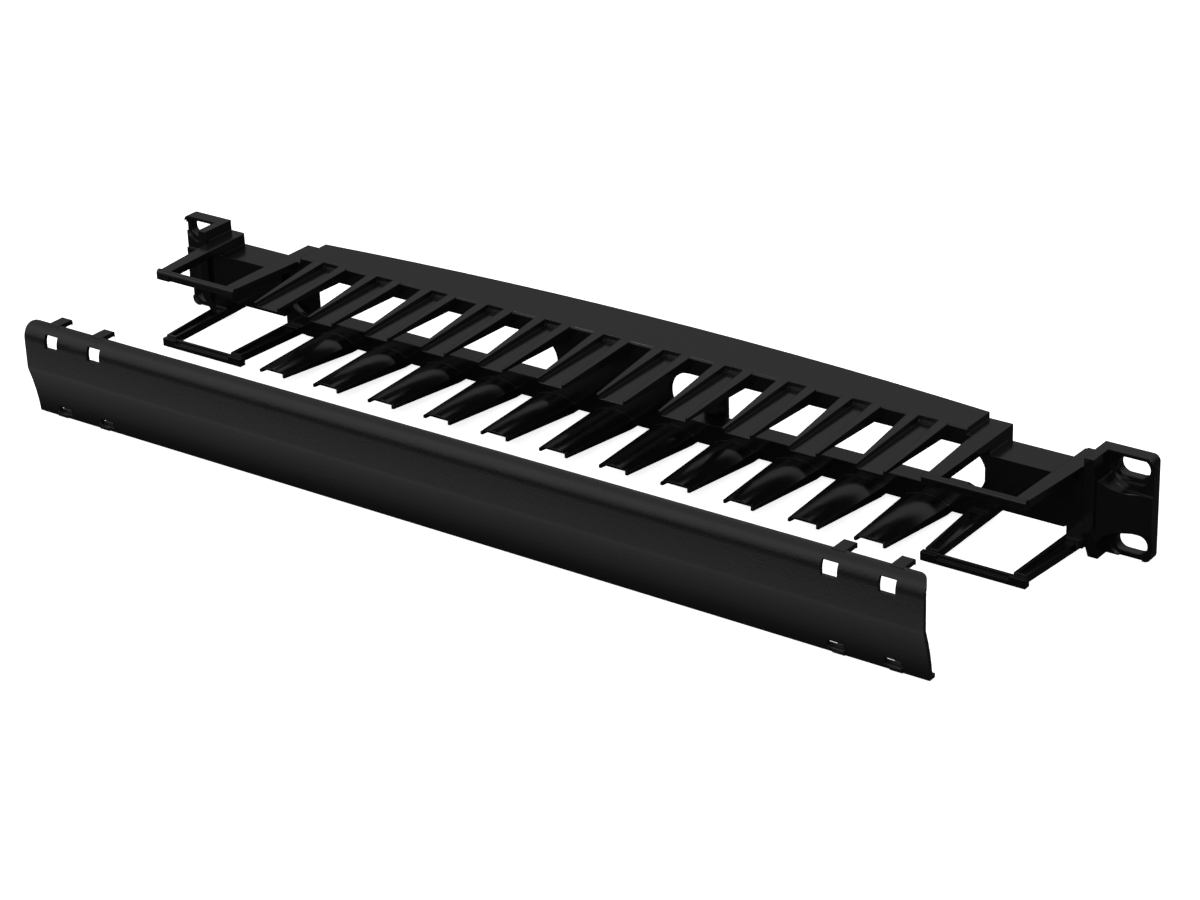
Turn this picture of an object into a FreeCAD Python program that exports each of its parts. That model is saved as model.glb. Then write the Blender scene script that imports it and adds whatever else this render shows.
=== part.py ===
import FreeCAD, Part
import math
import os

import Sketcher

# Horizontal cable manager, one rack unit high: a moulded base with two combs of
# fingers and a D-ring at each end, and a moulded cover that clips on the D-rings.
# Frame: X along the rack, -Y to the front, +Z up. The origin is in the middle of
# the plane in which the ears meet the rack rails. Lengths are in millimetres.

DRIVERS = (
    # rack ears
    ("ear_end", 241.3), ("unit_half", 21.85), ("ear_thick", 3.9),
    ("ear_corner", 2.8), ("slot_across", 232.55), ("slot_up", 15.875),
    ("slot_length", 13.3), ("slot_width", 7.8), ("seat_margin", 2.4),
    ("seat_depth", 0.9), ("lip_thick", 1.5), ("lip_depth", 6.0),
    ("cheek_inner", 218.4), ("cheek_outer", 223.0), ("cheek_front", -17.3),
    ("cheek_bevel", -9.5), ("cheek_foot", -11.8), ("web_front", -15.0),
    ("web_radius", 19.0), ("web_end", -5.7), ("scoop_radius", 9.9),
    ("scoop_side", 222.6), ("low_scoop", -10.6), ("low_radius", 5.5),
    # back wall, roof and floor
    ("body_half", 19.7), ("body_rear", 3.7), ("wall_front", -13.8),
    ("wall_rear", -11.0), ("wall_low", -17.8), ("edge_round", 1.0),
    ("roof_half", 166.5), ("roof_thick", 2.6), ("roof_bow", 8.45),
    ("floor_front", -9.5), ("neck_rear", -9.0),
    ("window_inner", 28.0), ("window_outer", 175.0), ("window_top", 12.2),
    ("window_low", -8.0), ("ledge_rear", -4.5), ("ramp_rear", -18.4),
    ("ramp_low", -14.7), ("ramp_foot", 9.0), ("tunnel_rear", 172.0),
    ("post_inner", 30.0), ("post_outer", 41.0), ("post_front", 8.0),
    ("post_rear", 10.5),
    # ends of the duct, between the two arms of a D-ring
    ("block_inner", 163.9), ("block_outer", 176.9), ("end_top", 12.0),
    ("end_low", -9.7), ("end_front", -16.1), ("end_round", 2.5),
    ("step_inner", 211.0), ("shell", 2.5),
    # D-rings
    ("arm_top", 17.15), ("arm_low", 13.7), ("arm_front", -51.6),
    ("arm_skin", 1.2), ("inner_arm_a", 167.7), ("inner_arm_b", 176.9),
    ("inner_arm_c", 171.0), ("inner_arm_d", 176.8), ("outer_arm_a", 210.4),
    ("outer_arm_b", 218.4), ("outer_arm_c", 208.7), ("outer_arm_d", 214.0),
    ("bar_front", -54.15), ("bar_rear", -51.0), ("bar_inner", 170.2),
    ("bar_outer", 214.2), ("bar_block", 7.0), ("bar_top", 18.25),
    ("bar_low", 13.45), ("rod_radius", 1.5), ("strip_thick", 1.4),
    ("low_bar_front", -53.6), ("low_bar_rear", -50.4), ("low_bar_inner", 169.8),
    ("low_bar_outer", 214.7), ("low_bar_top", -14.75), ("low_bar_low", -18.4),
    # fingers
    ("pitch", 29.85), ("tip_plane", -56.3), ("root_half", 9.0),
    ("root_wing", 9.75), ("wing_level", 15.3), ("root_crown", 12.8),
    ("tip_half", 7.0), ("tip_top", 16.2), ("tip_wing", 7.0),
    ("tip_level", 14.9), ("tip_crown", 13.3), ("recess_back", -12.8),
    ("recess_root", 4.4), ("recess_tip", 5.9), ("recess_floor", 16.95),
    ("recess_lip", 14.5), ("recess_step", 17.75),
    # cover, measured from its own front face
    ("cover_half", 217.6), ("cover_high", 21.05), ("cover_low", -21.2),
    ("cover_skin", 1.8), ("brow_depth", 5.4), ("brow_radius", 8.2),
    ("brow_level", 13.0), ("bend_level", 1.1), ("bend_radius", 6.0),
    ("bend_set", 0.42), ("foot_set", 4.9), ("foot_radius", 88.0),
    ("return_depth", 8.5), ("return_thick", 1.7), ("cover_corner", 4.5),
    ("hook_inner", 180.0), ("hook_width", 5.3), ("hook_pitch", 24.0),
    ("hook_tip", 13.0), ("hook_tip_low", 13.6), ("hook_thick", 2.05),
    ("hook_lip", 0.9), ("hook_drop", 0.35), ("gate_inner", -5.0),
    ("gate_outer", 2.0), ("gate_low", 11.5), ("gate_high", 17.5),
    ("slit_low", -19.6), ("slit_high", -16.6), ("cover_rest", -132.0),
)

FINGERS = 11


class Dim:
    """A length that keeps the sheet expression which gives it."""

    def __init__(self, value, text):
        self.value = value
        self.text = text

    def __add__(self, other):
        other = as_dim(other)
        return Dim(self.value + other.value, "(%s + %s)" % (self.text, other.text))

    def __sub__(self, other):
        other = as_dim(other)
        return Dim(self.value - other.value, "(%s - %s)" % (self.text, other.text))

    def __mul__(self, factor):
        return Dim(self.value * factor, "(%s * %r)" % (self.text, factor))

    def __neg__(self):
        return Dim(-self.value, "(0 - %s)" % self.text)


def as_dim(number):
    """Give a plain number the same form as a length from the sheet."""
    if isinstance(number, Dim):
        return number
    return Dim(float(number), "%r" % float(number))


def make_sheet(doc):
    """Write the driving dimensions to a spreadsheet and return them by alias."""
    sheet = doc.addObject("Spreadsheet::Sheet", "dims")
    for row, (alias, value) in enumerate(DRIVERS, start=1):
        sheet.set("A%d" % row, alias)
        sheet.set("B%d" % row, str(value))
        sheet.setAlias("B%d" % row, alias)
    doc.recompute()
    return {alias: Dim(value, "dims." + alias) for alias, value in DRIVERS}


def origin_part(body, role):
    """Find a plane or an axis of the body's own origin."""
    return next(part for part in body.Origin.OriginFeatures if part.Role == role)


def new_sketch(body, name, role, offset=None):
    """Start a sketch on an origin plane, moved along its normal by offset."""
    sketch = body.newObject("Sketcher::SketchObject", name)
    sketch.AttachmentSupport = (origin_part(body, role), [""])
    sketch.MapMode = "FlatFace"
    if offset is not None:
        sketch.setExpression("AttachmentOffset.Base.z", as_dim(offset).text)
    return sketch


def pin(sketch, geometry, point, x, y):
    """Hold one point of a sketch at x, y from the sketch's origin."""
    for kind, length in (("DistanceX", as_dim(x)), ("DistanceY", as_dim(y))):
        rule = Sketcher.Constraint(kind, -1, 1, geometry, point, length.value)
        index = sketch.addConstraint(rule)
        sketch.setExpression("Constraints[%d]" % index, length.text)


def set_radius(sketch, geometry, radius):
    """Bind the radius of a circle or an arc to its length."""
    rule = Sketcher.Constraint("Radius", geometry, radius.value)
    index = sketch.addConstraint(rule)
    sketch.setExpression("Constraints[%d]" % index, radius.text)


def arc_between(start, end, radius, side):
    """Make the short arc from start to end; side is 1 when it turns left."""
    chord = end - start
    middle = (start + end) * 0.5
    across = FreeCAD.Vector(-chord.y, chord.x, 0).normalize()
    rise = math.sqrt(max(radius ** 2 - chord.Length ** 2 / 4.0, 0.0))
    centre = middle + across * (rise * side)
    first, last = (start, end) if side > 0 else (end, start)
    angles = [math.atan2(p.y - centre.y, p.x - centre.x) for p in (first, last)]
    circle = Part.Circle(centre, FreeCAD.Vector(0, 0, 1), radius)
    return Part.ArcOfCircle(circle, angles[0], angles[1])


def draw_loop(sketch, corners):
    """Close a loop through corners (x, y) or (x, y, radius, side) before a bend."""
    corners = [(as_dim(c[0]), as_dim(c[1])) + tuple(c[2:]) for c in corners]
    points = [FreeCAD.Vector(c[0].value, c[1].value, 0) for c in corners]
    ends = []
    for index, corner in enumerate(corners):
        start, end = points[index], points[(index + 1) % len(points)]
        if len(corner) > 2:
            bend = arc_between(start, end, corner[2].value, corner[3])
            geometry = sketch.addGeometry(bend, False)
            set_radius(sketch, geometry, corner[2])
            ends.append((geometry, 1, 2) if corner[3] > 0 else (geometry, 2, 1))
        else:
            geometry = sketch.addGeometry(Part.LineSegment(start, end), False)
            ends.append((geometry, 1, 2))
    for index, corner in enumerate(corners):
        before = ends[index - 1]
        after = ends[index]
        rule = Sketcher.Constraint("Coincident", before[0], before[2], after[0], after[1])
        sketch.addConstraint(rule)
        pin(sketch, after[0], after[1], corner[0], corner[1])


def draw_box(sketch, left, right, low, high):
    """Draw a rectangle between two pairs of sides."""
    draw_loop(sketch, [(left, low), (right, low), (right, high), (left, high)])


def draw_obround(sketch, left, right, y, radius):
    """Draw an obround between two arc centres at the same height."""
    vec = FreeCAD.Vector
    a, b, c, r = as_dim(left).value, as_dim(right).value, as_dim(y).value, radius.value
    half = math.pi / 2
    circle = Part.Circle(vec(b, c, 0), vec(0, 0, 1), r)
    east = sketch.addGeometry(Part.ArcOfCircle(circle, -half, half), False)
    circle = Part.Circle(vec(a, c, 0), vec(0, 0, 1), r)
    west = sketch.addGeometry(Part.ArcOfCircle(circle, half, 3 * half), False)
    top = sketch.addGeometry(Part.LineSegment(vec(b, c + r, 0), vec(a, c + r, 0)), False)
    low = sketch.addGeometry(Part.LineSegment(vec(a, c - r, 0), vec(b, c - r, 0)), False)
    for pair in ((east, 2, top, 1), (top, 2, west, 1), (west, 2, low, 1), (low, 2, east, 1)):
        sketch.addConstraint(Sketcher.Constraint("Tangent", *pair))
    pin(sketch, east, 3, right, y)
    pin(sketch, west, 3, left, y)
    sketch.addConstraint(Sketcher.Constraint("Equal", east, west))
    set_radius(sketch, east, radius)


def grow(body, sketch, length, both=False, back=False):
    """Pad a sketch by a length, to both sides or backwards if asked."""
    feature = body.newObject("PartDesign::Pad", sketch.Name + "_pad")
    return finish(feature, sketch, length, both, back)


def cut(body, sketch, length, both=False, back=False):
    """Pocket a sketch by a length against the plane's normal."""
    feature = body.newObject("PartDesign::Pocket", sketch.Name + "_cut")
    return finish(feature, sketch, length, both, back)


def finish(feature, sketch, length, both, back):
    """Set the profile, the length and the direction of a pad or a pocket."""
    feature.Profile = sketch
    feature.setExpression("Length", as_dim(length).text)
    feature.Length = as_dim(length).value
    feature.SideType = "Symmetric" if both else "One side"
    feature.Reversed = back
    sketch.Visibility = False
    return feature


def loft(body, kind, name, sketches):
    """Loft a solid, or a cut, straight through a row of sketches."""
    feature = body.newObject("PartDesign::" + kind, name)
    feature.Profile = sketches[0]
    feature.Sections = sketches[1:]
    feature.Ruled = True
    for sketch in sketches:
        sketch.Visibility = False
    return feature


def mirror(body, name, features, roles):
    """Repeat features in one or more of the body's origin planes."""
    body.Document.recompute()
    kind = "PartDesign::Mirrored" if len(roles) == 1 else "PartDesign::MultiTransform"
    whole = body.newObject(kind, name)
    whole.Originals = features
    turns = []
    for role in roles if len(roles) > 1 else ():
        turn = body.newObject("PartDesign::Mirrored", "%s_%s" % (name, role))
        turn.MirrorPlane = (origin_part(body, role), [""])
        turns.append(turn)
    if turns:
        whole.Transformations = turns
    else:
        whole.MirrorPlane = (origin_part(body, roles[0]), [""])
    body.Tip = whole
    return whole


def bow_radius(half, rise):
    """Find the radius of an arc from half its chord and its rise."""
    value = (half.value ** 2 + rise.value ** 2) / (2.0 * rise.value)
    text = "((%s ^ 2 + %s ^ 2) / (2 * %s))" % (half.text, rise.text, rise.text)
    return Dim(value, text)


def add_roof(body, d):
    """Roof of the duct's rear part, with its long bowed rear edge."""
    sketch = new_sketch(body, "roof", "XY_Plane", d["body_half"] - d["roof_thick"])
    draw_bowed(sketch, d, d["wall_front"])
    return grow(body, sketch, d["roof_thick"])


def draw_bowed(sketch, d, front):
    """Draw the plan of the duct's rear part from a front line to the bow."""
    bow = bow_radius(d["roof_half"], d["roof_bow"])
    draw_loop(sketch, [
        (-d["roof_half"], front), (d["roof_half"], front),
        (d["roof_half"], d["body_rear"], bow, 1), (-d["roof_half"], d["body_rear"]),
    ])


def add_floor(body, d):
    """Floor under the bow, with a ledge in front and a ramp that falls behind it."""
    sketch = new_sketch(body, "floor", "XY_Plane", -d["body_half"])
    draw_bowed(sketch, d, d["floor_front"])
    grow(body, sketch, d["body_half"] + d["window_low"])
    sketch = new_sketch(body, "floor_nose", "YZ_Plane")
    draw_box(sketch, d["wall_rear"], d["floor_front"], d["wall_low"], d["window_low"])
    grow(body, sketch, d["roof_half"] * 2, both=True)
    sketch = new_sketch(body, "ramp", "YZ_Plane")
    rear = d["body_rear"] + d["roof_bow"] + 2.0
    draw_loop(sketch, [
        (d["ledge_rear"], d["window_low"]), (d["ramp_foot"], d["ramp_rear"]),
        (rear, d["ramp_rear"]), (rear, d["window_low"] + 1.0),
        (d["ledge_rear"], d["window_low"] + 1.0),
    ])
    return cut(body, sketch, d["roof_half"] * 2 + 4.0, both=True)


def add_wall(body, d):
    """Back wall with rounded long edges and two posts behind its middle."""
    sketch = new_sketch(body, "wall", "XZ_Plane", -d["wall_rear"])
    draw_box(sketch, -d["roof_half"], d["roof_half"], d["wall_low"], d["body_half"])
    grow(body, sketch, d["wall_rear"] - d["wall_front"])
    sketch = new_sketch(body, "edge_rounds", "YZ_Plane")
    front, bend = d["wall_front"], d["edge_round"]
    for side, edge in ((-1, d["wall_low"]), (1, d["body_half"])):
        draw_loop(sketch, [
            (front + bend, edge, bend, side), (front, edge - bend * side),
            (front - 1.0, edge - bend * side), (front - 1.0, edge + 1.0 * side),
            (front + bend, edge + 1.0 * side),
        ])
    cut(body, sketch, d["roof_half"] * 2 + 2.0, both=True)
    sketch = new_sketch(body, "posts", "XY_Plane", d["ramp_rear"] - 0.7)
    for side in (-1, 1):
        ends = (d["post_inner"], d["post_outer"])
        left, right = (ends[0], ends[1]) if side > 0 else (-ends[1], -ends[0])
        draw_box(sketch, left, right, d["post_front"], d["post_rear"])
    return grow(body, sketch, d["body_half"] - d["roof_thick"] - d["ramp_rear"] + 1.2)


def cut_windows(body, d):
    """Two long obround windows through the back wall and the root blocks."""
    radius = (d["window_top"] - d["window_low"]) * 0.5
    middle = (d["window_top"] + d["window_low"]) * 0.5
    sketch = new_sketch(body, "windows", "XZ_Plane", -d["wall_rear"] - 1.0)
    for side in (-1, 1):
        ends = (d["window_inner"] + radius, d["window_outer"] - radius)
        left, right = (ends[0], ends[1]) if side > 0 else (-ends[1], -ends[0])
        draw_obround(sketch, left, right, middle, radius)
    return cut(body, sketch, d["wall_rear"] - d["wall_front"] + 2.0, back=True)


def add_end(body, d):
    """Right end of the duct: the root block, the end box and the outer block."""
    made = []
    sketch = new_sketch(body, "root_block", "XZ_Plane", -d["body_rear"])
    draw_box(sketch, d["block_inner"], d["block_outer"], -d["arm_top"], d["arm_top"])
    made.append(grow(body, sketch, d["body_rear"] - d["wall_front"]))
    sketch = new_sketch(body, "end_box", "XZ_Plane")
    inner, outer, bend = d["block_outer"] - 1.0, d["step_inner"] + 1.0, d["end_round"]
    draw_loop(sketch, [
        (inner, d["end_low"]), (outer - bend, d["end_low"], bend, 1),
        (outer, d["end_low"] + bend), (outer, d["end_top"]), (inner, d["end_top"]),
    ])
    made.append(grow(body, sketch, -d["end_front"]))
    sketch = new_sketch(body, "outer_block", "XZ_Plane")
    draw_box(sketch, d["step_inner"], d["cheek_outer"] - 0.5, -d["arm_top"], d["arm_top"])
    made.append(grow(body, sketch, -d["end_front"] - 0.5))
    return made


def hollow_end(body, d):
    """Cuts of the right end: the tunnel's slanted side and the open rear."""
    sketch = new_sketch(body, "tunnel", "XY_Plane", d["ramp_low"] - 0.3)
    draw_loop(sketch, [
        (d["block_inner"] - 1.0, d["wall_rear"]), (d["window_outer"] - 1.0, d["wall_rear"]),
        (d["tunnel_rear"], d["body_rear"] + 0.5), (d["block_inner"] - 1.0, d["body_rear"] + 0.5),
    ])
    height = d["arm_top"] - d["roof_thick"] - d["ramp_low"] + 0.3
    tunnel = cut(body, sketch, height, back=True)
    sketch = new_sketch(body, "end_hollow", "XZ_Plane")
    shell = d["shell"]
    draw_box(sketch, d["block_outer"] + 1.0, d["step_inner"] - 1.5, d["end_low"] + shell,
             d["end_top"] - shell)
    hollow = cut(body, sketch, -d["end_front"] - shell, back=True)
    return [tunnel, hollow]


def add_ear(body, d):
    """Right ear: the side cheek, the flange and the curved web between them."""
    made = []
    sketch = new_sketch(body, "cheek", "XY_Plane")
    draw_box(sketch, d["cheek_inner"], d["cheek_outer"], d["cheek_front"], 0.0)
    made.append(grow(body, sketch, d["unit_half"] * 2, both=True))
    inset = d["ear_end"] - d["ear_corner"]
    drop = d["unit_half"] - d["ear_corner"]
    sketch = new_sketch(body, "flange", "XZ_Plane")
    draw_loop(sketch, [
        (d["cheek_inner"], -d["unit_half"]), (inset, -d["unit_half"], d["ear_corner"], 1),
        (d["ear_end"], -drop), (d["ear_end"], drop, d["ear_corner"], 1),
        (inset, d["unit_half"]), (d["cheek_inner"], d["unit_half"]),
    ])
    made.append(grow(body, sketch, d["ear_thick"] + d["seat_depth"]))
    sketch = new_sketch(body, "web", "XY_Plane")
    draw_loop(sketch, [
        (d["cheek_outer"] - 1.0, 0.0), (d["cheek_outer"] - 1.0, d["web_front"]),
        (d["cheek_outer"], d["web_front"], d["web_radius"], -1),
        (d["ear_end"], d["web_end"]), (d["ear_end"], 0.0),
    ])
    made.append(grow(body, sketch, d["scoop_radius"] * 2.4, both=True))
    return made


def cut_ear(body, d):
    """Cuts of the right ear: two scoops, two seats and two slots for the screws."""
    made = []
    floor = d["ear_thick"] + d["seat_depth"]
    side, far = d["scoop_side"], d["ear_end"] + 1.0
    radius, level = d["scoop_radius"], d["slot_up"]
    top = d["unit_half"] + 2.0
    sketch = new_sketch(body, "scoop_high", "XZ_Plane", floor)
    draw_loop(sketch, [
        (side, level, radius, 1), (side + radius, level - radius),
        (far, level - radius), (far, top), (side, top),
    ])
    made.append(cut(body, sketch, 20.0, back=True))
    radius, level = d["low_radius"], d["low_scoop"]
    sketch = new_sketch(body, "scoop_low", "XZ_Plane", floor)
    draw_loop(sketch, [
        (side, -top), (far, -top), (far, level), (side + radius, level, radius, 1),
        (side, level - radius),
    ])
    made.append(cut(body, sketch, 20.0, back=True))
    for name, reach, depth, start in (
            ("seats", d["slot_width"] * 0.5 + d["seat_margin"], d["seat_depth"], d["ear_thick"]),
            ("slots", d["slot_width"] * 0.5, d["ear_thick"] + 2.0, -1.0)):
        half = (d["slot_length"] - d["slot_width"]) * 0.5
        sketch = new_sketch(body, name, "XZ_Plane", start)
        for height in (d["slot_up"], -d["slot_up"]):
            draw_obround(sketch, d["slot_across"] - half, d["slot_across"] + half, height, reach)
        made.append(cut(body, sketch, depth, back=True))
    sketch = new_sketch(body, "cheek_chin", "YZ_Plane", d["cheek_inner"] - 0.5)
    low = -d["unit_half"]
    draw_loop(sketch, [
        (d["cheek_front"], d["cheek_bevel"]), (d["cheek_front"] - 1.0, d["cheek_bevel"]),
        (d["cheek_front"] - 1.0, low - 1.0), (d["cheek_foot"], low - 1.0),
        (d["cheek_foot"], low),
    ])
    made.append(cut(body, sketch, d["cheek_outer"] - d["cheek_inner"] + 1.0, back=True))
    return made


def add_ear_lip(body, d):
    """Rim along the top edge of the right ear."""
    inset = d["ear_end"] - d["ear_corner"]
    drop = d["unit_half"] - d["ear_corner"]
    sketch = new_sketch(body, "ear_lip", "XZ_Plane")
    draw_loop(sketch, [
        (d["cheek_outer"] - 1.0, d["unit_half"] - d["lip_thick"]),
        (inset, d["unit_half"] - d["lip_thick"]), (d["ear_end"], drop, d["ear_corner"], 1),
        (inset, d["unit_half"]), (d["cheek_outer"] - 1.0, d["unit_half"]),
    ])
    return grow(body, sketch, d["lip_depth"])


def add_arms(body, d):
    """Upper right D-ring's two arms, each with a channel on its inner side."""
    adds, cuts = [], []
    for name in ("inner_arm", "outer_arm"):
        rear = (d[name + "_a"], d[name + "_b"])
        front = (d[name + "_c"], d[name + "_d"])
        sketch = new_sketch(body, name, "XY_Plane", d["arm_low"])
        draw_loop(sketch, [
            (rear[0], -1.0), (front[0], d["arm_front"]), (front[1], d["arm_front"]),
            (rear[1], -1.0),
        ])
        adds.append(grow(body, sketch, d["arm_top"] - d["arm_low"]))
        skin = d["arm_skin"]
        sketch = new_sketch(body, name + "_channel", "XY_Plane", d["arm_low"] - 1.0)
        draw_loop(sketch, [
            (rear[0] + skin, d["end_front"]), (front[0] + skin, d["low_bar_rear"]),
            (front[1] - skin, d["low_bar_rear"]), (rear[1] - skin, d["end_front"]),
        ])
        cuts.append(cut(body, sketch, d["arm_top"] - d["arm_low"] + 1.0 - skin, back=True))
    return adds, cuts


def add_high_bar(body, d):
    """Upper right D-ring's bar: two end blocks, a rod and the strip below it."""
    crown = (d["bar_rear"] - d["bar_front"]) * 0.5
    sketch = new_sketch(body, "bar_block", "YZ_Plane", d["bar_inner"])
    draw_loop(sketch, [
        (d["bar_front"], d["bar_low"]), (d["bar_rear"], d["bar_low"]),
        (d["bar_rear"], d["bar_top"] - crown, crown + 0.05, 1),
        (d["bar_front"], d["bar_top"] - crown),
    ])
    bar = grow(body, sketch, d["bar_outer"] - d["bar_inner"])
    sketch = new_sketch(body, "bar_groove", "YZ_Plane", d["bar_inner"] + d["bar_block"])
    middle = (d["bar_front"] + d["bar_rear"]) * 0.5
    half = d["strip_thick"] * 0.5
    level = d["bar_top"] - d["rod_radius"] * 1.7
    for outside, inside in ((d["bar_front"] - 1.0, middle - half),
                            (middle + half, d["bar_rear"] + 1.0)):
        draw_box(sketch, outside, inside, d["bar_low"] - 1.0, level)
    length = d["bar_outer"] - d["bar_inner"] - d["bar_block"] * 2
    return [bar], [cut(body, sketch, length, back=True)]


def add_low_bar(body, d):
    """Lower right D-ring's bar: end blocks, a rod behind and a strip in front."""
    front, rear = d["low_bar_front"], d["low_bar_rear"]
    high, low = d["low_bar_top"], d["low_bar_low"]
    sketch = new_sketch(body, "low_bar", "YZ_Plane", d["low_bar_inner"])
    draw_loop(sketch, [
        (front, low), (rear, low), (rear, high - 1.0, as_dim(1.0), 1),
        (rear - 1.0, high), (front, high),
    ])
    bar = grow(body, sketch, d["low_bar_outer"] - d["low_bar_inner"])
    sketch = new_sketch(body, "low_groove", "YZ_Plane", d["low_bar_inner"] + d["bar_block"])
    thick = d["strip_thick"]
    draw_box(sketch, front - 1.0, front + thick, low + 2.0, high + 1.0)
    draw_box(sketch, front + thick + 0.3, rear + 1.0, low - 1.0, low + thick)
    length = d["low_bar_outer"] - d["low_bar_inner"] - d["bar_block"] * 2
    return [bar], [cut(body, sketch, length, back=True)]


def add_fingers(body, d):
    """Two combs of tapered channel fingers, with arched inner faces."""
    start = d["pitch"] * -(FINGERS // 2)
    root = new_sketch(body, "finger_root", "XZ_Plane", -d["wall_front"])
    draw_finger(root, start, d["root_half"], d["body_half"], d["root_wing"],
                d["wing_level"], d["root_crown"])
    tip = new_sketch(body, "finger_tip", "XZ_Plane", -d["tip_plane"])
    draw_finger(tip, start, d["tip_half"], d["tip_top"], d["tip_wing"], d["tip_level"],
                d["tip_crown"])
    finger = loft(body, "AdditiveLoft", "finger", [root, tip])
    neck = grow(body, root, d["neck_rear"] - d["wall_front"], back=True)
    recess = []
    for name, plane, half, low in (
            ("recess_root", d["wall_front"], d["recess_root"], d["recess_floor"]),
            ("recess_tip", d["tip_plane"] - 0.2, d["recess_tip"], d["recess_lip"])):
        sketch = new_sketch(body, name, "XZ_Plane", -plane)
        draw_box(sketch, start - half, start + half, low, d["body_half"] + 0.1)
        recess.append(sketch)
    hollow = loft(body, "SubtractiveLoft", "recess", recess)
    sketch = new_sketch(body, "recess_step", "XZ_Plane", -d["recess_back"])
    draw_box(sketch, start - d["recess_root"], start + d["recess_root"], d["recess_step"],
             d["body_half"] + 0.1)
    ledge = cut(body, sketch, d["recess_back"] - d["wall_front"] + 0.1, back=True)
    body.Document.recompute()
    combs = body.newObject("PartDesign::MultiTransform", "combs")
    combs.Originals = [finger, neck, hollow, ledge]
    row = body.newObject("PartDesign::LinearPattern", "finger_row")
    row.Direction = (origin_part(body, "X_Axis"), [""])
    row.Mode = "Spacing"
    row.setExpression("Offset", d["pitch"].text)
    row.Offset = d["pitch"].value
    row.Occurrences = FINGERS
    flip = body.newObject("PartDesign::Mirrored", "finger_flip")
    flip.MirrorPlane = (origin_part(body, "XY_Plane"), [""])
    combs.Transformations = [row, flip]
    body.Tip = combs
    return combs


def draw_finger(sketch, centre, half, top, wing, level, crown):
    """Draw a finger's section: flat outside, flared sides, arched inside."""
    rise = level - crown
    value = (wing.value ** 2 + rise.value ** 2) / (2.0 * rise.value)
    text = "((%s ^ 2 + %s ^ 2) / (2 * %s))" % (wing.text, rise.text, rise.text)
    draw_loop(sketch, [
        (centre - half, top), (centre - wing, level, Dim(value, text), 1),
        (centre + wing, level), (centre + half, top),
    ])


def build_base(doc, d):
    """Build the moulded base as one body."""
    body = doc.addObject("PartDesign::Body", "base")
    body.Label = "base"
    body.AllowCompound = True
    add_roof(body, d)
    add_floor(body, d)
    add_wall(body, d)
    mirror(body, "ends", add_end(body, d), ["YZ_Plane"])
    mirror(body, "end_cuts", hollow_end(body, d), ["YZ_Plane"])
    cut_windows(body, d)
    mirror(body, "ears", add_ear(body, d), ["YZ_Plane"])
    mirror(body, "ear_cuts", cut_ear(body, d), ["YZ_Plane"])
    mirror(body, "ear_lips", [add_ear_lip(body, d)], ["YZ_Plane"])
    adds, cuts = add_arms(body, d)
    mirror(body, "arms", adds, ["XY_Plane", "YZ_Plane"])
    mirror(body, "arm_channels", cuts, ["XY_Plane", "YZ_Plane"])
    for name, build in (("high_bars", add_high_bar), ("low_bars", add_low_bar)):
        adds, cuts = build(body, d)
        mirror(body, name, adds + cuts, ["YZ_Plane"])
    add_fingers(body, d)
    return body


def cover_profile(sketch, d, y):
    """Draw the cover's bent section, its brow at the top and its return below."""
    skin = d["cover_skin"]
    brow = y + d["brow_depth"]
    foot = y + d["foot_set"]
    draw_loop(sketch, [
        (brow, d["cover_high"], d["brow_radius"], 1), (y, d["brow_level"]),
        (y, d["bend_level"], d["bend_radius"], 1), (y + d["bend_set"], -d["bend_level"],
                                                   d["foot_radius"], -1),
        (foot, d["cover_low"]), (y + d["return_depth"], d["cover_low"]),
        (y + d["return_depth"], d["cover_low"] + d["return_thick"]),
        (foot + skin, d["cover_low"] + d["return_thick"], d["foot_radius"] - skin, 1),
        (y + d["bend_set"] + skin, -d["bend_level"] + 0.3, d["bend_radius"] - skin, -1),
        (y + skin, d["bend_level"] + 0.3), (y + skin, d["brow_level"] - 0.5,
                                            d["brow_radius"] - skin, -1),
        (brow, d["cover_high"] - skin),
    ])


def add_hook(body, d, name, side, edge, tip):
    """Tongue with a small lip that reaches behind a bar of the D-ring."""
    sketch = new_sketch(body, name, "YZ_Plane", d["hook_inner"] - d["hook_width"] * 0.5)
    inner = edge - d["hook_thick"] * side
    root = d["cover_rest"] + d["brow_depth"] - 1.2
    draw_loop(sketch, [
        (root, edge), (root, inner), (tip - d["hook_lip"], inner),
        (tip - d["hook_lip"] * 0.5, inner - d["hook_drop"] * side),
        (tip, inner - d["hook_drop"] * side), (tip, edge - 0.5 * side), (tip - 0.5, edge),
    ])
    return grow(body, sketch, d["hook_width"])


def add_gate(body, d, y, name, low, high):
    """Opening in the cover's skin next to a tongue."""
    sketch = new_sketch(body, name, "XZ_Plane", -y - d["brow_depth"] - 1.2)
    left, right = d["hook_inner"] + d["gate_inner"], d["hook_inner"] + d["gate_outer"]
    draw_box(sketch, left, right, low, high)
    return cut(body, sketch, d["brow_depth"] + 3.0, back=True)


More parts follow.
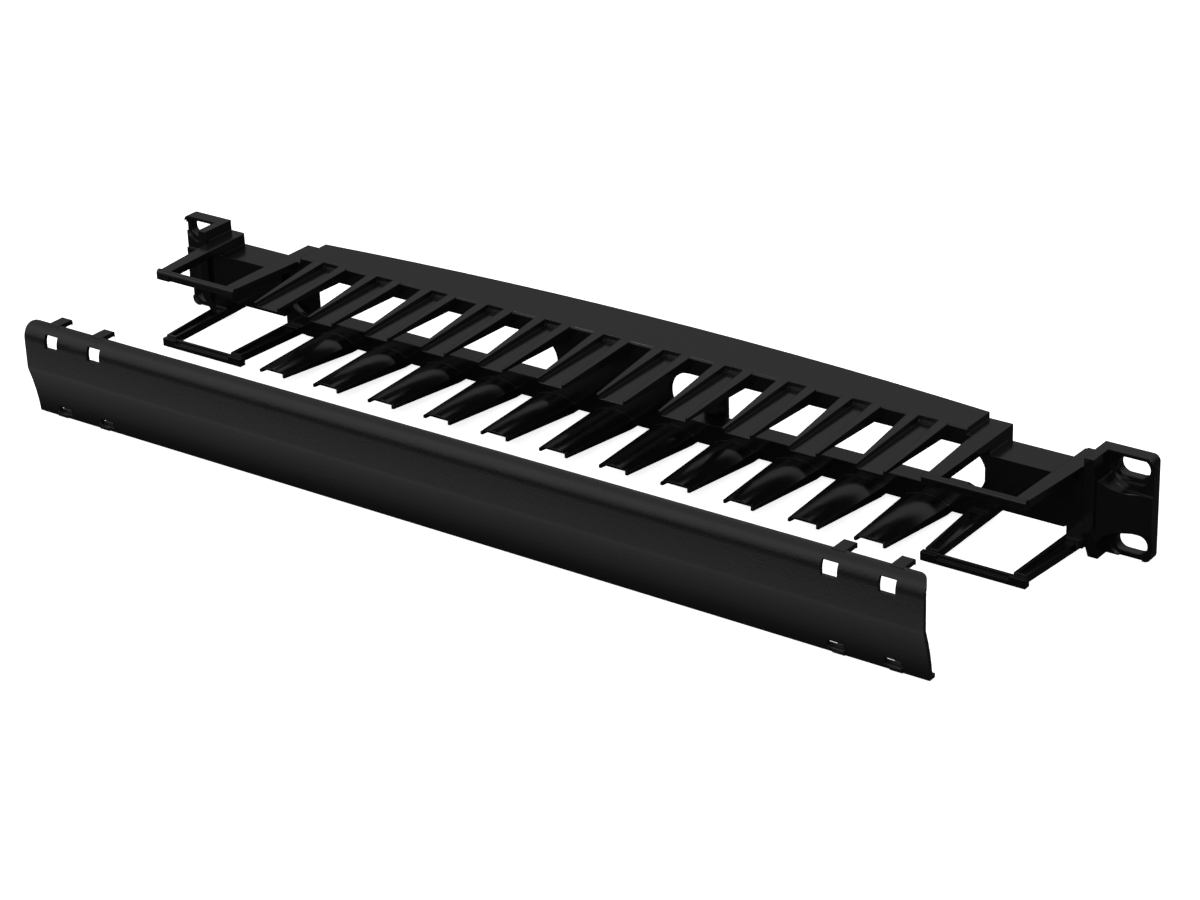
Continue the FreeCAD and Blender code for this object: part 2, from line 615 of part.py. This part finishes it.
def build_cover(doc, d):
    """Build the cover as one body, at its rest place in front of the base."""
    body = doc.addObject("PartDesign::Body", "cover")
    body.Label = "cover"
    body.AllowCompound = True
    y = d["cover_rest"]
    sketch = new_sketch(body, "cover_section", "YZ_Plane")
    cover_profile(sketch, d, y)
    grow(body, sketch, d["cover_half"] * 2, both=True)
    high = add_hook(body, d, "hook_high", 1, d["cover_high"], y + d["hook_tip"])
    low = add_hook(body, d, "hook_low", -1, -d["cover_high"], y + d["hook_tip_low"])
    gates = [add_gate(body, d, y, "gate_high", d["gate_low"], d["gate_high"]),
             add_gate(body, d, y, "gate_low", d["slit_low"], d["slit_high"])]
    doc.recompute()
    hooks = body.newObject("PartDesign::MultiTransform", "hooks")
    hooks.Originals = [high, low] + gates
    row = body.newObject("PartDesign::LinearPattern", "hook_pair")
    row.Direction = (origin_part(body, "X_Axis"), [""])
    row.Mode = "Spacing"
    row.setExpression("Offset", d["hook_pitch"].text)
    row.Offset = d["hook_pitch"].value
    row.Occurrences = 2
    flip = body.newObject("PartDesign::Mirrored", "hook_ends")
    flip.MirrorPlane = (origin_part(body, "YZ_Plane"), [""])
    hooks.Transformations = [row, flip]
    body.Tip = hooks
    radius = d["cover_corner"]
    end, back = d["cover_half"], y + d["brow_depth"]
    sketch = new_sketch(body, "brow_corner", "XY_Plane", d["cover_high"] - 6.0)
    draw_loop(sketch, [
        (end - radius, back, radius, -1), (end, back - radius), (end + 1.0, back - radius),
        (end + 1.0, back + 1.0), (end - radius, back + 1.0),
    ])
    mirror(body, "brow_corners", [cut(body, sketch, 8.0, back=True)], ["YZ_Plane"])
    return body


def check_document(doc, pieces):
    """Stop if any object of the document failed or a piece is not one sound solid."""
    for item in doc.Objects:
        if "Invalid" in item.State or "Error" in item.State:
            raise RuntimeError("%s did not build: %s" % (item.Name, item.State))
    for piece in pieces:
        shape = piece.Shape
        if shape.isNull() or not shape.isValid() or len(shape.Solids) != 1:
            raise RuntimeError("%s is not one valid solid" % piece.Label)


def main():
    """Build the document, check it and write one STEP file for each piece."""
    doc = FreeCAD.newDocument("cable_manager")
    dims = make_sheet(doc)
    pieces = [build_base(doc, dims), build_cover(doc, dims)]
    doc.recompute()
    check_document(doc, pieces)
    os.makedirs("parts", exist_ok=True)
    for piece in pieces:
        piece.Shape.exportStep(os.path.join("parts", piece.Label + ".step"))
        print(piece.Label, round(piece.Shape.Volume, 1), piece.Shape.BoundBox)


main()
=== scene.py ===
import logging
import math
from dataclasses import dataclass
from enum import Enum

import bpy
from mathutils import Matrix, Vector


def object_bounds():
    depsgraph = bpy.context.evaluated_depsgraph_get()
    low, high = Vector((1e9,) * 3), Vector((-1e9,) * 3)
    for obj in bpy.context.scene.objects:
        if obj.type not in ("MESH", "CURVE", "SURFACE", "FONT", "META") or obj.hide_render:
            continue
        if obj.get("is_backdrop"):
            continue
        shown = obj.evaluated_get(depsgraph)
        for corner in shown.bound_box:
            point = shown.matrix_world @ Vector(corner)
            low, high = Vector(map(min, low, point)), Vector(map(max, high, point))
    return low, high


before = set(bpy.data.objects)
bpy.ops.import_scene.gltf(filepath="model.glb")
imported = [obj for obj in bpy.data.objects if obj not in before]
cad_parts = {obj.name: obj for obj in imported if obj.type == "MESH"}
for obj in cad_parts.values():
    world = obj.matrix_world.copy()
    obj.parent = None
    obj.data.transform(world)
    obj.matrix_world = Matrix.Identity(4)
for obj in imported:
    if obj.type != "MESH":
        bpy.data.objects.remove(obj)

MM = 0.001
LOG = logging.getLogger("cable_manager")
WHITE = "ffffff"


class Texture(Enum):
    """How the steel of the mould was finished, which the plastic copies."""

    SATIN = "satin"
    SPARKED = "spark eroded"


# Height of the drawn grain: satin steel leaves the skin almost smooth, spark erosion
# leaves it speckled, so that its highlights break up.
GRAIN_DEPTH_MM = {Texture.SATIN: 0.01, Texture.SPARKED: 0.1}


def linear(hex_colour: str) -> tuple[float, float, float, float]:
    """Turn an sRGB hex colour into linear RGBA.

    Args:
        hex_colour: Six hex digits, without a hash.

    Returns:
        The linear colour with an alpha of 1.
    """
    values = []
    for start in (0, 2, 4):
        level = int(hex_colour[start:start + 2], 16) / 255.0
        low = level / 12.92
        high = ((level + 0.055) / 1.055) ** 2.4
        values.append(low if level <= 0.04045 else high)
    return values[0], values[1], values[2], 1.0


def add_node(tree: bpy.types.NodeTree, kind: str, settings: dict | None = None,
             links: dict | None = None) -> bpy.types.Node:
    """Add one node, set its values and link its inputs.

    Args:
        tree: The node tree that gets the node.
        kind: The node's type name.
        settings: Attribute names, or input names and numbers, with their values.
        links: Input names or numbers with the output sockets that feed them.

    Returns:
        The new node.
    """
    node = tree.nodes.new(kind)
    for name, value in (settings or {}).items():
        if isinstance(name, str) and hasattr(node, name):
            setattr(node, name, value)
        else:
            node.inputs[name].default_value = value
    for name, socket in (links or {}).items():
        tree.links.new(socket, node.inputs[name])
    return node


@dataclass(frozen=True)
class MouldedPlastic:
    """Injection-moulded ABS, coloured black through its body.

    The body is almost black, so what the eye gets is the thin gloss of the skin: dark
    where it faces dark, and soft grey where it faces a lamp.

    Attributes:
        name: The material's name.
        texture: The mould's finish.
        roughness: Mean roughness of the skin.
        colour: sRGB of the body.
        flow_colour: sRGB where the melt flowed last, a trace paler.
        flow_mm: Width of the flow's slow changes of tone.
        patch_mm: Width of the patches that differ in gloss.
        uneven: How far roughness falls and rises over those patches.
        grain_mm: Spacing of the grain. Real grain is a tenth to a fifth of a
            millimetre and too fine to show, so it is drawn as coarse as it shows.
        edge_mm: Rounding of the moulded edges.
        edge_samples: How finely that rounding is sampled.
    """

    name: str
    texture: Texture
    roughness: float
    colour: str = "0b0b0c"
    flow_colour: str = "0e0e0f"
    flow_mm: float = 45.0
    patch_mm: float = 12.0
    uneven: tuple[float, float] = (-0.05, 0.07)
    grain_mm: float = 0.9
    edge_mm: float = 0.5
    edge_samples: int = 6

    def material(self) -> bpy.types.Material:
        """Build the node material.

        Returns:
            The material, with its colour, roughness and relief from nodes.
        """
        material = bpy.data.materials.new(self.name)
        material.use_nodes = True
        tree = material.node_tree
        tree.nodes.clear()
        place = add_node(tree, "ShaderNodeTexCoord").outputs["Object"]
        colour = self._colour(tree, place)
        roughness = self._roughness(tree, place)
        relief = self._relief(tree, place)
        shader = add_node(
            tree, "ShaderNodeBsdfPrincipled", {"IOR": 1.5, "Specular IOR Level": 0.5},
            {"Base Color": colour, "Roughness": roughness, "Normal": relief})
        add_node(tree, "ShaderNodeOutputMaterial", None, {"Surface": shader.outputs[0]})
        return material

    def _colour(self, tree: bpy.types.NodeTree, place: bpy.types.NodeSocket
                ) -> bpy.types.NodeSocket:
        """Make the slow, faint change of tone that flow in the mould leaves.

        Args:
            tree: The material's node tree.
            place: The output that gives the place on the piece.

        Returns:
            The colour output.
        """
        flow = add_node(tree, "ShaderNodeTexNoise",
                        {"Scale": 1.0 / (self.flow_mm * MM), "Detail": 3.0},
                        {"Vector": place})
        mix = add_node(tree, "ShaderNodeMix",
                       {"data_type": "RGBA", 6: linear(self.colour),
                        7: linear(self.flow_colour)},
                       {0: flow.outputs["Fac"]})
        return mix.outputs[2]

    def _roughness(self, tree: bpy.types.NodeTree, place: bpy.types.NodeSocket
                   ) -> bpy.types.NodeSocket:
        """Make the slightly uneven gloss of handled plastic.

        Args:
            tree: The material's node tree.
            place: The output that gives the place on the piece.

        Returns:
            The roughness output.
        """
        patch = add_node(tree, "ShaderNodeTexNoise",
                         {"Scale": 1.0 / (self.patch_mm * MM), "Detail": 4.0},
                         {"Vector": place})
        fall, rise = self.uneven
        span = add_node(tree, "ShaderNodeMapRange",
                        {"To Min": self.roughness + fall, "To Max": self.roughness + rise},
                        {"Value": patch.outputs["Fac"]})
        return span.outputs[0]

    def _relief(self, tree: bpy.types.NodeTree, place: bpy.types.NodeSocket
                ) -> bpy.types.NodeSocket:
        """Lay the grain that the mould's steel leaves over softly rounded edges.

        Args:
            tree: The material's node tree.
            place: The output that gives the place on the piece.

        Returns:
            The normal output.
        """
        edge = add_node(tree, "ShaderNodeBevel",
                        {"samples": self.edge_samples, "Radius": self.edge_mm * MM})
        grain = add_node(tree, "ShaderNodeTexNoise",
                         {"Scale": 1.0 / (self.grain_mm * MM), "Detail": 4.0,
                          "Roughness": 0.6},
                         {"Vector": place})
        bump = add_node(tree, "ShaderNodeBump",
                        {"Strength": 1.0, "Distance": GRAIN_DEPTH_MM[self.texture] * MM},
                        {"Height": grain.outputs["Fac"], "Normal": edge.outputs[0]})
        return bump.outputs[0]


@dataclass(frozen=True)
class WhiteBoard:
    """Matt white painted board, the table under the part.

    The eye gets even white with the part's soft shadow. The gloss of the part gets a
    dark table instead, with one glowing strip in front of the cover that only reflections
    get: a painted reflection on the cover's face.

    Attributes:
        name: The material's name.
        paint: sRGB of the board as the eye gets it.
        eye_glow: Light added for the eye, so that the board reads as white.
        dark_paint: sRGB of the table in all other light.
        reflection_strip_glow: Strength of the glowing strip, the painted reflection, in
            reflections.
        reflection_strip_near_m: Y at which the strip begins and Y at which it is at full
            strength.
        reflection_strip_far_m: Y at which the strip ends and Y up to which it keeps full
            strength.
    """

    name: str = "matt_white_board"
    paint: str = "f4f4f4"
    eye_glow: float = 0.85
    dark_paint: str = "3a3a3a"
    reflection_strip_glow: float = 0.38
    reflection_strip_near_m: tuple[float, float] = (-0.13, -0.145)
    reflection_strip_far_m: tuple[float, float] = (-0.21, -0.175)

    def material(self) -> bpy.types.Material:
        """Build the node material.

        Returns:
            The material.
        """
        material = bpy.data.materials.new(self.name)
        material.use_nodes = True
        tree = material.node_tree
        tree.nodes.clear()
        rays = add_node(tree, "ShaderNodeLightPath")
        paint = add_node(tree, "ShaderNodeBsdfDiffuse", {"Color": linear(self.paint)})
        glow = add_node(tree, "ShaderNodeEmission",
                        {"Color": linear(WHITE), "Strength": self.eye_glow})
        seen = add_node(tree, "ShaderNodeAddShader", None,
                        {0: paint.outputs[0], 1: glow.outputs[0]})
        dark = add_node(tree, "ShaderNodeBsdfDiffuse", {"Color": linear(self.dark_paint)})
        # Glowing strip on the table that only reflected rays see: a painted reflection on
        # the cover's face.
        reflection_strip = self._painted_reflection_strip(tree, rays.outputs["Is Glossy Ray"])
        unseen = add_node(tree, "ShaderNodeAddShader", None, {0: dark.outputs[0], 1: reflection_strip})
        both = add_node(tree, "ShaderNodeMixShader", None,
                        {0: rays.outputs["Is Camera Ray"], 1: unseen.outputs[0],
                         2: seen.outputs[0]})
        add_node(tree, "ShaderNodeOutputMaterial", None, {"Surface": both.outputs[0]})
        return material

    def _painted_reflection_strip(self, tree: bpy.types.NodeTree, glossy: bpy.types.NodeSocket
              ) -> bpy.types.NodeSocket:
        """Make the glowing strip on the table that only reflections get, a painted
        reflection on the cover's face.

        Args:
            tree: The material's node tree.
            glossy: The output that is 1 for a reflected ray.

        Returns:
            The card's shader output.
        """
        place = add_node(tree, "ShaderNodeTexCoord").outputs["Object"]
        depth = add_node(tree, "ShaderNodeSeparateXYZ", None, {0: place}).outputs["Y"]
        near = add_node(tree, "ShaderNodeMapRange",
                        {"interpolation_type": "SMOOTHSTEP",
                         "From Min": self.reflection_strip_near_m[0], "From Max": self.reflection_strip_near_m[1],
                         "To Max": self.reflection_strip_glow},
                        {"Value": depth})
        far = add_node(tree, "ShaderNodeMapRange",
                       {"interpolation_type": "SMOOTHSTEP",
                        "From Min": self.reflection_strip_far_m[0], "From Max": self.reflection_strip_far_m[1]},
                       {"Value": depth})
        level = add_node(tree, "ShaderNodeMath", {"operation": "MULTIPLY"},
                         {0: near.outputs[0], 1: far.outputs[0]})
        shown = add_node(tree, "ShaderNodeMath", {"operation": "MULTIPLY"},
                         {0: level.outputs[0], 1: glossy})
        # Painted reflection: the table glows here for reflected rays only.
        reflection_strip = add_node(tree, "ShaderNodeEmission", {"Color": linear(WHITE)},
                        {"Strength": shown.outputs[0]})
        return reflection_strip.outputs[0]


@dataclass(frozen=True)
class Room:
    """White room: white to the eye, and to gloss dark at the sides and pale above.

    Attributes:
        eye_white: Strength of the surround that the eye gets.
        fill: Strength of the even light on the part.
        low_glow: Strength that reflections get near the horizon.
        high_glow: Strength that reflections get from above.
        rise: Heights of a direction between which the one turns into the other.
    """

    eye_white: float = 1.0
    fill: float = 0.6
    low_glow: float = 0.03
    high_glow: float = 0.47
    rise: tuple[float, float] = (0.1, 0.8)

    def build(self) -> None:
        """Make the world and set it."""
        world = bpy.data.worlds.new("studio")
        bpy.context.scene.world = world
        world.use_nodes = True
        tree = world.node_tree
        tree.nodes.clear()
        rays = add_node(tree, "ShaderNodeLightPath")
        seen = add_node(tree, "ShaderNodeMath", {"operation": "MAXIMUM"},
                        {0: rays.outputs["Is Camera Ray"],
                         1: rays.outputs["Is Transmission Ray"]})
        soft = add_node(tree, "ShaderNodeBackground",
                        {"Color": linear(WHITE), "Strength": self.fill})
        way = add_node(tree, "ShaderNodeTexCoord").outputs["Generated"]
        height = add_node(tree, "ShaderNodeSeparateXYZ", None, {0: way}).outputs["Z"]
        level = add_node(tree, "ShaderNodeMapRange",
                         {"From Min": self.rise[0], "From Max": self.rise[1],
                          "To Min": self.low_glow, "To Max": self.high_glow},
                         {"Value": height})
        gloss = add_node(tree, "ShaderNodeBackground", {"Color": linear(WHITE)},
                         {"Strength": level.outputs[0]})
        white = add_node(tree, "ShaderNodeBackground",
                         {"Color": linear(WHITE), "Strength": self.eye_white})
        around = add_node(tree, "ShaderNodeMixShader", None,
                          {0: rays.outputs["Is Glossy Ray"], 1: soft.outputs[0],
                           2: gloss.outputs[0]})
        mix = add_node(tree, "ShaderNodeMixShader", None,
                       {0: seen.outputs[0], 1: around.outputs[0], 2: white.outputs[0]})
        add_node(tree, "ShaderNodeOutputWorld", None, {"Surface": mix.outputs[0]})


@dataclass
class Moulding:
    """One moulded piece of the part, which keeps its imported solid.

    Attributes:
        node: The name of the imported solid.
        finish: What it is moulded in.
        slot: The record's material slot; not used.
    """

    node: str
    finish: MouldedPlastic
    slot: str = "black_abs"

    def build(self) -> bpy.types.Object:
        """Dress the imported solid.

        Returns:
            The dressed object.
        """
        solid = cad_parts[self.node]
        solid.data.materials.clear()
        solid.data.materials.append(self.finish.material())
        for face in solid.data.polygons:
            face.material_index = 0
        return solid


@dataclass(frozen=True)
class SoftLamp:
    """Square soft lamp.

    Attributes:
        name: The lamp's name.
        place_m: Where it stands.
        side_m: The length of its side.
        power_w: Its power.
    """

    name: str
    place_m: tuple[float, float, float]
    side_m: float
    power_w: float

    def build(self, target_m: tuple[float, float, float]) -> None:
        """Make the lamp and point it.

        Args:
            target_m: The point that it faces.
        """
        data = bpy.data.lights.new(self.name, "AREA")
        data.size = self.side_m
        data.energy = self.power_w
        lamp = bpy.data.objects.new(self.name, data)
        lamp.location = self.place_m
        aim = Vector(target_m) - Vector(self.place_m)
        lamp.rotation_euler = aim.to_track_quat("-Z", "Y").to_euler()
        bpy.context.scene.collection.objects.link(lamp)


@dataclass(frozen=True)
class Camera:
    """Camera on a sphere round its target.

    Attributes:
        target_m: The point that it faces.
        distance_m: How far away it stands.
        azimuth_deg: Its turn from the part's front to the right.
        elevation_deg: Its height above the level.
        roll_deg: Its tilt about its own line of sight.
        lens_mm: Focal length.
        sensor_mm: Sensor width.
    """

    target_m: tuple[float, float, float] = (-0.0180206, 0.0, -0.0415046)
    distance_m: float = 1.3953967
    azimuth_deg: float = 36.5842
    elevation_deg: float = 25.4265
    roll_deg: float = -2.0521
    lens_mm: float = 99.243
    sensor_mm: float = 36.0

    def build(self) -> None:
        """Make the camera and set it as the scene's own."""
        azimuth = math.radians(self.azimuth_deg)
        elevation = math.radians(self.elevation_deg)
        roll = math.radians(self.roll_deg)
        back = Vector((math.sin(azimuth) * math.cos(elevation),
                       -math.cos(azimuth) * math.cos(elevation), math.sin(elevation)))
        right = Vector((math.cos(azimuth), math.sin(azimuth), 0.0))
        up = back.cross(right)
        side = right * math.cos(roll) + up * math.sin(roll)
        top = up * math.cos(roll) - right * math.sin(roll)
        data = bpy.data.cameras.new("camera")
        data.lens = self.lens_mm
        data.sensor_width = self.sensor_mm
        camera = bpy.data.objects.new("camera", data)
        turn = Matrix((side, top, back)).transposed().to_4x4()
        place = Vector(self.target_m) + back * self.distance_m
        camera.matrix_world = Matrix.Translation(place) @ turn
        bpy.context.scene.collection.objects.link(camera)
        bpy.context.scene.camera = camera


@dataclass(frozen=True)
class Studio:
    """White table, soft lamps, room and camera.

    Attributes:
        board: The table's finish.
        room: The surround.
        camera: The camera.
        lamps: The soft lamps. The strip draws the thin light lines on rods and edges,
            the left softbox lights the cover's brow, and the front one the faces.
        gap_mm: Space between the part and the table.
        half_m: Half the table's side.
    """

    board: WhiteBoard = WhiteBoard()
    room: Room = Room()
    camera: Camera = Camera()
    lamps: tuple[SoftLamp, ...] = (
        SoftLamp("top_strip", (-1.08, 0.56, 1.6), 0.2, 1.1),
        SoftLamp("left_softbox", (-1.15, -1.45, 0.78), 1.6, 4.0),
        SoftLamp("front_softbox", (0.8, -2.0, 1.3), 1.2, 20.0),
    )
    gap_mm: float = 0.3
    half_m: float = 30.0

    def build(self) -> None:
        """Set up the table, the room, the lamps and the camera."""
        self._table()
        self.room.build()
        for lamp in self.lamps:
            lamp.build(self.camera.target_m)
        self.camera.build()

    def _table(self) -> None:
        """Lay the board just below the part."""
        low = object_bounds()[0][2] - self.gap_mm * MM
        half = self.half_m
        mesh = bpy.data.meshes.new("floor")
        mesh.from_pydata(
            [(-half, -half, low), (half, -half, low), (half, half, low), (-half, half, low)],
            [], [(0, 1, 2, 3)])
        mesh.materials.append(self.board.material())
        floor = bpy.data.objects.new("floor", mesh)
        bpy.context.scene.collection.objects.link(floor)
        floor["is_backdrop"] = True


def main() -> None:
    """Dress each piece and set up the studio."""
    logging.basicConfig(level=logging.INFO, format="%(message)s")
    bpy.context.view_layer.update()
    # Satin skin with fairly crisp reflections on flat tops and inside the fingers.
    base_finish = MouldedPlastic("black_abs_satin", Texture.SATIN, roughness=0.16)
    # Grained skin, a trace paler, that spreads its reflections over brow and face.
    cover_finish = MouldedPlastic("black_abs_grained", Texture.SPARKED, roughness=0.28,
                                  colour="0d0d0e", flow_colour="111112")
    for piece in (Moulding("base", base_finish), Moulding("cover", cover_finish)):
        made = piece.build()
        LOG.info("%s: %d faces, %s", made.name, len(made.data.polygons), piece.finish.name)
    Studio().build()
    bpy.context.scene.view_settings.view_transform = "Standard"


if __name__ == "__main__":
    main()
